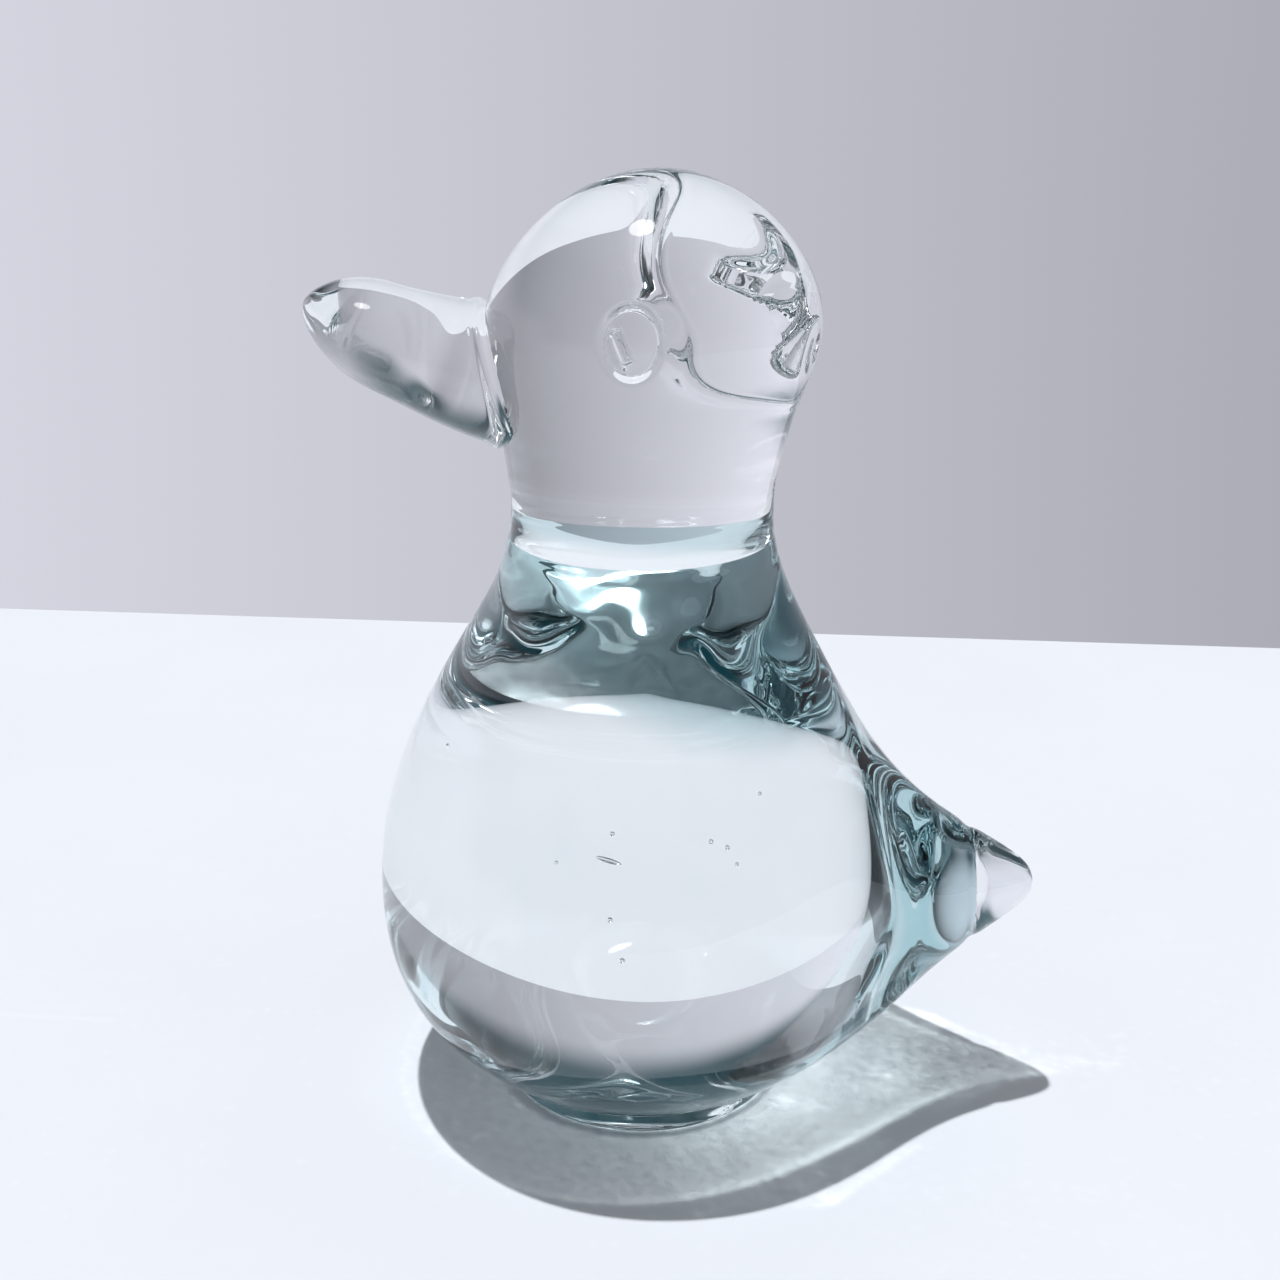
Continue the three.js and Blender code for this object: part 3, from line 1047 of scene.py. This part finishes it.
@dataclass
class Eye:
    """Dot of glass pressed into the side of the head, with the slanting mark of the tool on it."""

    head: Head
    side: Side
    depth: float = 1.6
    edge: float = 0.1
    round_over: float = 0.45
    round_rise: float = 0.6
    rim_lift: float = 0.02
    floor_ring: float = 0.6
    mark_length: float = 4.4
    mark_sides: float = 0.6
    highest_contact: float = 0.6
    contact_steps: int = 400
    round_rows: int = 9
    dome_rows: int = 40
    columns: int = 96

    def __post_init__(self) -> None:
        """Takes over what the head knows of the dot."""
        self.radius, self.slimness = self.head.eye_radius, self.head.eye_slimness
        self.press = self.head.presses[self.side]

    def mesh(self) -> bpy.types.Mesh:
        """Makes the dot, with a row of points along the line where it leaves the head.

        Returns:
            The closed skin.
        """
        across, up, out, seat = self.head.eye_frame(self.side)
        turn = turns(self.columns)
        ring = np.column_stack([self.slimness * np.cos(turn), np.sin(turn)])
        base = seat - out * self.edge

        def points(radius: float, height: np.ndarray | float) -> np.ndarray:
            """Ring of the dot at a radius and at one height, or at a height for each of its points."""
            flat = ring * radius
            lifted = np.broadcast_to(height, self.columns)
            return base + flat[:, :1] * across + flat[:, 1:] * up + lifted[:, None] * out

        heights = np.linspace(-self.depth, self.highest_contact, self.contact_steps)
        wall = np.array([self.head.depth(points(self.radius, h)) for h in heights])
        contact = heights[np.argmax(wall < 0, axis=0)]
        skin = Skin()
        skin.row(base - out * self.depth)
        skin.row(points(self.radius * self.floor_ring, -self.depth), fused_below=True)
        skin.row(points(self.radius, -self.depth), fused_below=True)
        skin.row(points(self.radius, contact), fused_below=True)
        rise = self.round_over * self.round_rise
        for angle in np.linspace(0, np.pi / 2, self.round_rows):
            radius = self.radius - self.round_over * (1 - math.cos(angle))
            height = self.edge - rise + rise * math.sin(angle)
            skin.row(points(radius, np.maximum(height, contact + self.rim_lift)))
        inner = self.radius - self.round_over
        for share in np.linspace(1, 0, self.dome_rows)[1:-1]:
            height = self.edge + self.press.dome * (1 - share**2)
            skin.row(points(inner * share, height - self.mark(ring * inner * share)))
        top = self.edge + self.press.dome - float(self.mark(np.zeros((1, 2)))[0])
        skin.row(base + out * top)
        made = skin.mesh(f"glass_{self.node()}")
        facing_out(made)
        return made

    def mark(self, flat: np.ndarray) -> np.ndarray:
        """Depth of the tool's slanting mark.

        Args:
            flat: Places on the dot, across and up.

        Returns:
            Depths.
        """
        lean = math.radians(self.press.mark_lean)
        local = flat - self.press.mark_shift
        along = local @ (-math.sin(lean), math.cos(lean))
        beside = local @ (math.cos(lean), math.sin(lean))
        inside = eased(1 - np.abs(beside) / self.press.mark_width, 0, self.mark_sides) * eased(
            1 - np.abs(along) / (self.mark_length / 2), 0, self.press.mark_ends)
        return self.press.mark_depth * inside

    def node(self) -> str:
        """Name of the CAD node that the dot stands for."""
        return f"{self.side.name.lower()}_eye"

    def build(self, mesh: bpy.types.Mesh, glass: bpy.types.Material) -> bpy.types.Object:
        """Dresses the dot."""
        polish(mesh)
        return place(mesh, self.node(), Slot.CLEAR, glass)


@dataclass
class BentLight:
    """Streaks of light inside the duck's shadow, found by following the lamp's rays through the glass, and
    painted into the table as a glow.
    """

    towards_lamp: Vector
    index: float
    spacing: float = 0.2
    reach: float = 300.0
    most_hits: int = 14
    blur: float = 0.35
    blur_taps: int = 4
    kept: float = 0.85
    shake_seed: int = 7
    nudge: float = 1e-4
    flattest: float = 0.05

    def gather(self, pieces: Iterable[bpy.types.Object]) -> None:
        """Puts the faces of all pieces in one search tree.

        Args:
            pieces: The glass pieces.
        """
        corners: list[np.ndarray] = []
        faces: list[list[int]] = []
        self.fused: list[bool] = []
        for piece in pieces:
            mesh = piece.data
            start = sum(len(c) for c in corners)
            corners.append(corners_of(mesh) / MM)
            faces += [[start + v for v in face.vertices] for face in mesh.polygons]
            self.fused += [entry.value > 0.5 for entry in mesh.attributes[FUSED].data]
        places = np.concatenate(corners)
        self.low, self.high = places.min(0), places.max(0)
        self.tree = BVHTree.FromPolygons(places.tolist(), faces)

    def follow(self, start: Vector) -> tuple[float, float, float] | None:
        """Follows a ray through the glass to the table.

        Args:
            start: Where the ray comes from.

        Returns:
            Where it lands and the share of its light that is left, or None where it misses the glass or the
            table.
        """
        way, left, hit = -self.towards_lamp, 1.0, False
        for _ in range(self.most_hits):
            place, normal, face, _ = self.tree.ray_cast(start, way)
            if place is None:
                break
            hit = True
            if not self.fused[face]:
                entering = way.dot(normal) < 0
                normal = normal if entering else -normal
                ratio = 1 / self.index if entering else self.index
                upright = -way.dot(normal)
                under = 1 - ratio * ratio * (1 - upright * upright)
                if under < 0:
                    way = way + 2 * upright * normal
                else:
                    bent = math.sqrt(under)
                    across = (ratio * upright - bent) / (ratio * upright + bent)
                    along = (upright - ratio * bent) / (upright + ratio * bent)
                    left *= 1 - (across * across + along * along) / 2
                    way = ratio * way + (ratio * upright - bent) * normal
            start = place + way * self.nudge
        if not hit or way.z > -self.flattest or place is not None:
            return None
        fall = -start.z / way.z
        return start.x + way.x * fall, start.y + way.y * fall, left

    def lay(self, table: bpy.types.Object, lines: tuple[np.ndarray, np.ndarray]) -> None:
        """Writes the light into the table's corners, as a share of the lamp's full light.

        Args:
            table: Table top, as a grid.
            lines: Places of the grid's evenly spaced lines along x and y.
        """
        lean = self.towards_lamp / self.towards_lamp.z
        slip = np.array([[-lean.x, -lean.y]]) * np.array([[0.0], [self.high[2]]])
        first = (self.low[:2] + slip.min(0)) // self.spacing * self.spacing
        last = self.high[:2] + slip.max(0)
        shaken = np.random.default_rng(self.shake_seed)
        landed = []
        for x in np.arange(first[0], last[0], self.spacing):
            for y in np.arange(first[1], last[1], self.spacing):
                dx, dy = shaken.uniform(-0.5, 0.5, 2) * self.spacing
                spot = self.follow(Vector((x + dx, y + dy, 0)) + lean * self.reach)
                if spot:
                    landed.append(spot)
        spots = np.array(landed)
        turn = table.rotation_euler.z
        xs = spots[:, 0] * math.cos(turn) + spots[:, 1] * math.sin(turn)
        ys = spots[:, 1] * math.cos(turn) - spots[:, 0] * math.sin(turn)
        cell = lines[0][1] - lines[0][0]
        edges = [np.append(line, line[-1] + cell) - cell / 2 for line in lines]
        light = np.histogram2d(xs, ys, edges, weights=spots[:, 2])[0]
        light *= self.kept * (self.spacing / cell) ** 2
        taps = np.exp(-((np.arange(-self.blur_taps, self.blur_taps + 1) * cell / self.blur) ** 2) / 2)
        taps /= taps.sum()
        for axis in (0, 1):
            light = np.apply_along_axis(np.convolve, axis, light, taps, "same")
        first_lines = (lines[0][0], lines[1][0])
        at = np.round((corners_of(table.data)[:, :2] / MM - first_lines) / cell).astype(int)
        inside = ((at >= 0) & (at < light.shape)).all(1)
        values = np.zeros(len(at), np.float32)
        values[inside] = light[tuple(at[inside].T)]
        table.data.attributes[BENT_LIGHT].data.foreach_set("value", values)
        LOG.info("bent light: %d rays, brightest %.2f of the lamp", len(landed), light.max())


@dataclass
class Studio:
    """Pale table top, grey surround, one overhead lamp and the camera.

    Runs of the surround are pairs of shares of a direction: towards the camera, the tail or the ceiling.
    """

    camera_place: tuple[float, float, float] = (225.4, -0.2, 145.9)
    camera_pitch: float = 20.0
    focal_pixels: float = 1800.0
    lamp_back: float = 3.0
    lamp_left: float = 8.0
    lamp_spread: float = 1.5
    lamp_strength: float = 2.5
    fill_strength: float = 0.28
    light_colour: str = "#f8fcff"
    table_back: float = 183.0
    table_turn: float = 5.3
    table_front: float = 600.0
    table_half_width: float = 700.0
    table_drop: float = 0.05
    shadow_room: tuple[tuple[float, float], tuple[float, float]] = ((-90.0, 90.0), (-80.0, 120.0))
    shadow_cell: float = 0.5
    # Colour of the painted caustic light that the table gives off where the glass bends the lamp's light.
    caustic_glow_colour: str = "#dcebe9"
    table_colour: str = "#f4f4f9"
    table_cloud: str = "#eeeef4"
    cloud_width: float = 60.0
    table_roughness: float = 0.7
    table_gloss: float = 0.2
    wall_colour: str = "#c1c2cc"
    wall_sides: tuple[float, float] = (-0.7, 0.6)
    wall_strengths: tuple[float, float] = (1.476, 0.592)
    ceiling_colour: str = "#24454e"
    ceiling_rise: tuple[float, float] = (0.15, 0.4)
    gloom: float = 0.12
    gloom_front: tuple[float, float] = (0.0, 0.3)
    gloom_rise: tuple[float, float] = (0.0, 0.15)
    window_strength: float = 9.0
    window_spread: float = 6.0
    window_edge: float = 1.15
    camera_reach: tuple[float, float] = (0.001, 50.0)
    most_bounces: int = 32

    def lamp_direction(self) -> Vector:
        """Direction from the duck to the lamp."""
        back, left = math.tan(math.radians(self.lamp_back)), math.tan(math.radians(self.lamp_left))
        return Vector((-back, -left, 1)).normalized()

    def shadow_lines(self) -> tuple[np.ndarray, np.ndarray]:
        """Even lines of the table's grid, along x and y, where the duck's shadow falls."""
        return tuple(np.arange(low, high, self.shadow_cell) for low, high in self.shadow_room)

    def table(self) -> bpy.types.Object:
        """Lays the table top, with a fine grid where the duck's shadow falls.

        Returns:
            The table top.
        """
        along, across = self.shadow_lines()
        xs = [-self.table_back, *along, self.table_front]
        ys = [-self.table_half_width, *across, self.table_half_width]
        corners = [(x * MM, y * MM, 0) for x in xs for y in ys]
        rows, columns = range(len(xs) - 1), range(len(ys) - 1)
        faces = [(a * len(ys) + b, (a + 1) * len(ys) + b, (a + 1) * len(ys) + b + 1, a * len(ys) + b + 1)
                 for a in rows for b in columns]
        mesh = bpy.data.meshes.new("table_top")
        mesh.from_pydata(corners, [], faces)
        mesh.attributes.new(BENT_LIGHT, "FLOAT", "POINT")
        top = stand("table_top", mesh)
        top.rotation_euler.z = -math.radians(self.table_turn)
        top.location.z = -self.table_drop * MM
        mesh.materials.append(self.laminate())
        return top

    def laminate(self) -> bpy.types.Material:
        """Makes the table's finish, a matt white laminate that shows hardly any grain.

        Returns:
            The material, which also glows with painted caustic light where bent light lands.
        """
        made = bpy.data.materials.new("matt white laminate")
        made.use_nodes = True
        tree = made.node_tree
        tree.nodes.clear()
        where = add(tree, "ShaderNodeTexCoord").outputs["Object"]
        cloud = add(tree, "ShaderNodeTexNoise", {
            "Vector": where, "Scale": 1 / (self.cloud_width * MM), "Detail": 4.0}).outputs[0]
        tone = add(tree, "ShaderNodeMix", {
            0: cloud, 6: linear(self.table_cloud), 7: linear(self.table_colour)}, data_type="RGBA").outputs[2]
        # Painted caustic light: the table glows where the glass bends the lamp's light into the shadow, by
        # the share that BentLight wrote.
        bent_light_share = add(
            tree, "ShaderNodeAttribute", attribute_name=BENT_LIGHT, attribute_type="GEOMETRY").outputs["Fac"]
        caustic_glow_tint = add(
            tree, "ShaderNodeMix", {0: 1.0, 6: tone, 7: linear(self.caustic_glow_colour)},
            data_type="RGBA", blend_type="MULTIPLY").outputs[2]
        full_light = self.lamp_strength * self.lamp_direction().z / math.pi
        glow = add(tree, "ShaderNodeMath", (bent_light_share, full_light), operation="MULTIPLY").outputs[0]
        shader = add(tree, "ShaderNodeBsdfPrincipled", {
            "Base Color": tone, "Roughness": self.table_roughness, "Specular IOR Level": self.table_gloss,
            "Emission Color": caustic_glow_tint, "Emission Strength": glow})
        add(tree, "ShaderNodeOutputMaterial", {"Surface": shader.outputs[0]})
        return made

    def surround(self) -> None:
        """Paints the room round the table.

        It has a grey wall that fades along the duck, a darker ceiling, a dim side behind the camera and the
        lamp's bright diffuser.
        """
        world = bpy.data.worlds.new("studio")
        bpy.context.scene.world = world
        world.use_nodes = True
        tree = world.node_tree
        tree.nodes.clear()
        way = add(tree, "ShaderNodeTexCoord").outputs["Generated"]
        x, y, z = add(tree, "ShaderNodeSeparateXYZ", [way]).outputs
        up = add(
            tree, "ShaderNodeMapRange", (z, *self.ceiling_rise), interpolation_type="SMOOTHSTEP").outputs[0]
        room = add(tree, "ShaderNodeMix", {
            0: up, 6: linear(self.wall_colour), 7: linear(self.ceiling_colour)}, data_type="RGBA").outputs[2]
        sideways, behind, above = (
            add(tree, "ShaderNodeMapRange", run).outputs[0] for run in (
                (y, *self.wall_sides, *self.wall_strengths), (x, *self.gloom_front), (z, *self.gloom_rise)))
        dusk = add(tree, "ShaderNodeMath", (behind, above), operation="MULTIPLY").outputs[0]
        dim = add(tree, "ShaderNodeMapRange", (dusk, 0.0, 1.0, 1.0, self.gloom)).outputs[0]
        lit = add(tree, "ShaderNodeMath", (sideways, dim), operation="MULTIPLY").outputs[0]
        lamp_way = self.lamp_direction()
        towards = add(
            tree, "ShaderNodeVectorMath", (way, lamp_way), operation="DOT_PRODUCT").outputs["Value"]
        near = math.cos(math.radians(self.window_spread))
        edge = math.cos(math.radians(self.window_spread * self.window_edge))
        bright = add(tree, "ShaderNodeMapRange", (towards, edge, near, 0.0, self.window_strength)).outputs[0]
        wall = add(tree, "ShaderNodeBackground", {"Color": room, "Strength": lit}).outputs[0]
        window = add(tree, "ShaderNodeBackground", {"Strength": bright}).outputs[0]
        seen = add(tree, "ShaderNodeAddShader", (wall, window)).outputs[0]
        fill = add(tree, "ShaderNodeBackground", {
            "Color": linear(self.light_colour), "Strength": self.fill_strength}).outputs[0]
        path = add(tree, "ShaderNodeLightPath")
        shown = path.outputs["Is Camera Ray"]
        for ray in ("Is Glossy Ray", "Is Transmission Ray"):
            shown = add(tree, "ShaderNodeMath", (shown, path.outputs[ray]), operation="MAXIMUM").outputs[0]
        mixed = add(tree, "ShaderNodeMixShader", (shown, fill, seen)).outputs[0]
        add(tree, "ShaderNodeOutputWorld", {"Surface": mixed})

    def lamp(self) -> bpy.types.Object:
        """Hangs the overhead lamp.

        Returns:
            The lamp.
        """
        light = bpy.data.lights.new("overhead_lamp", "SUN")
        light.energy = self.lamp_strength
        light.color = linear(self.light_colour)[:3]
        light.angle = math.radians(self.lamp_spread)
        lamp = stand("overhead_lamp", light)
        lamp.rotation_mode = "QUATERNION"
        lamp.rotation_quaternion = self.lamp_direction().to_track_quat("Z", "Y")
        lamp.location = self.lamp_direction()
        return lamp

    def camera(self) -> bpy.types.Object:
        """Sets the camera where the photograph was taken from.

        Returns:
            The camera.
        """
        lens = bpy.data.cameras.new("camera")
        lens.sensor_width = SENSOR_MM
        lens.lens = self.focal_pixels / IMAGE_SIDE * SENSOR_MM
        lens.clip_start, lens.clip_end = self.camera_reach
        camera = stand("camera", lens)
        camera.location = Vector(self.camera_place) * MM
        pitch = math.radians(self.camera_pitch)
        ahead = Vector((-math.cos(pitch), 0, -math.sin(pitch)))
        camera.rotation_mode = "QUATERNION"
        camera.rotation_quaternion = ahead.to_track_quat("-Z", "Y")
        bpy.context.scene.camera = camera
        return camera

    def build(self) -> bpy.types.Object:
        """Sets up the studio and how the picture is developed.

        Returns:
            The table top.
        """
        scene = bpy.context.scene
        scene.view_settings.view_transform = "Standard"
        for bounces in ("max_bounces", "transmission_bounces", "glossy_bounces", "transparent_max_bounces"):
            setattr(scene.cycles, bounces, self.most_bounces)
        scene.cycles.blur_glossy = 0.0
        self.camera()
        self.surround()
        self.lamp()
        LOG.info("studio: table, surround, lamp and camera")
        return self.table()


TINTED = HotWorkedGlass(
    name="tinted soda-lime glass", pale="#fefefe", cord="#f8fbfb", gathered="#b0d2d6", absorbed="#89ebf3",
    density=0.6)
CLEAR = HotWorkedGlass(
    name="clear soda-lime glass", pale="#fefefe", cord="#f8fbfb", gathered="#fefefe", absorbed="#89ebf3",
    density=0.3)


def main() -> None:
    """Builds the duck and its studio."""
    logging.basicConfig(level=logging.INFO, format="%(name)s %(message)s")
    studio = Studio()
    table = studio.build()
    tinted, clear = TINTED.material(), CLEAR.material()
    stance = Stance()
    outline = Outline(stance)
    pieces = [Foot(stance).build(tinted), *BodyAndTail(stance, outline).build(tinted, clear)]
    head = Head(stance, outline)
    bill = Bill(head)
    eyes = [Eye(head, side) for side in Side]
    shapes = [bill.mesh(), *(eye.mesh() for eye in eyes)]
    pieces.append(head.build(shapes, clear))
    pieces += [part.build(shape, clear) for part, shape in zip([bill, *eyes], shapes)]
    bent = BentLight(studio.lamp_direction(), CLEAR.index)
    bent.gather(pieces)
    bent.lay(table, studio.shadow_lines())


if __name__ == "__main__":
    main()
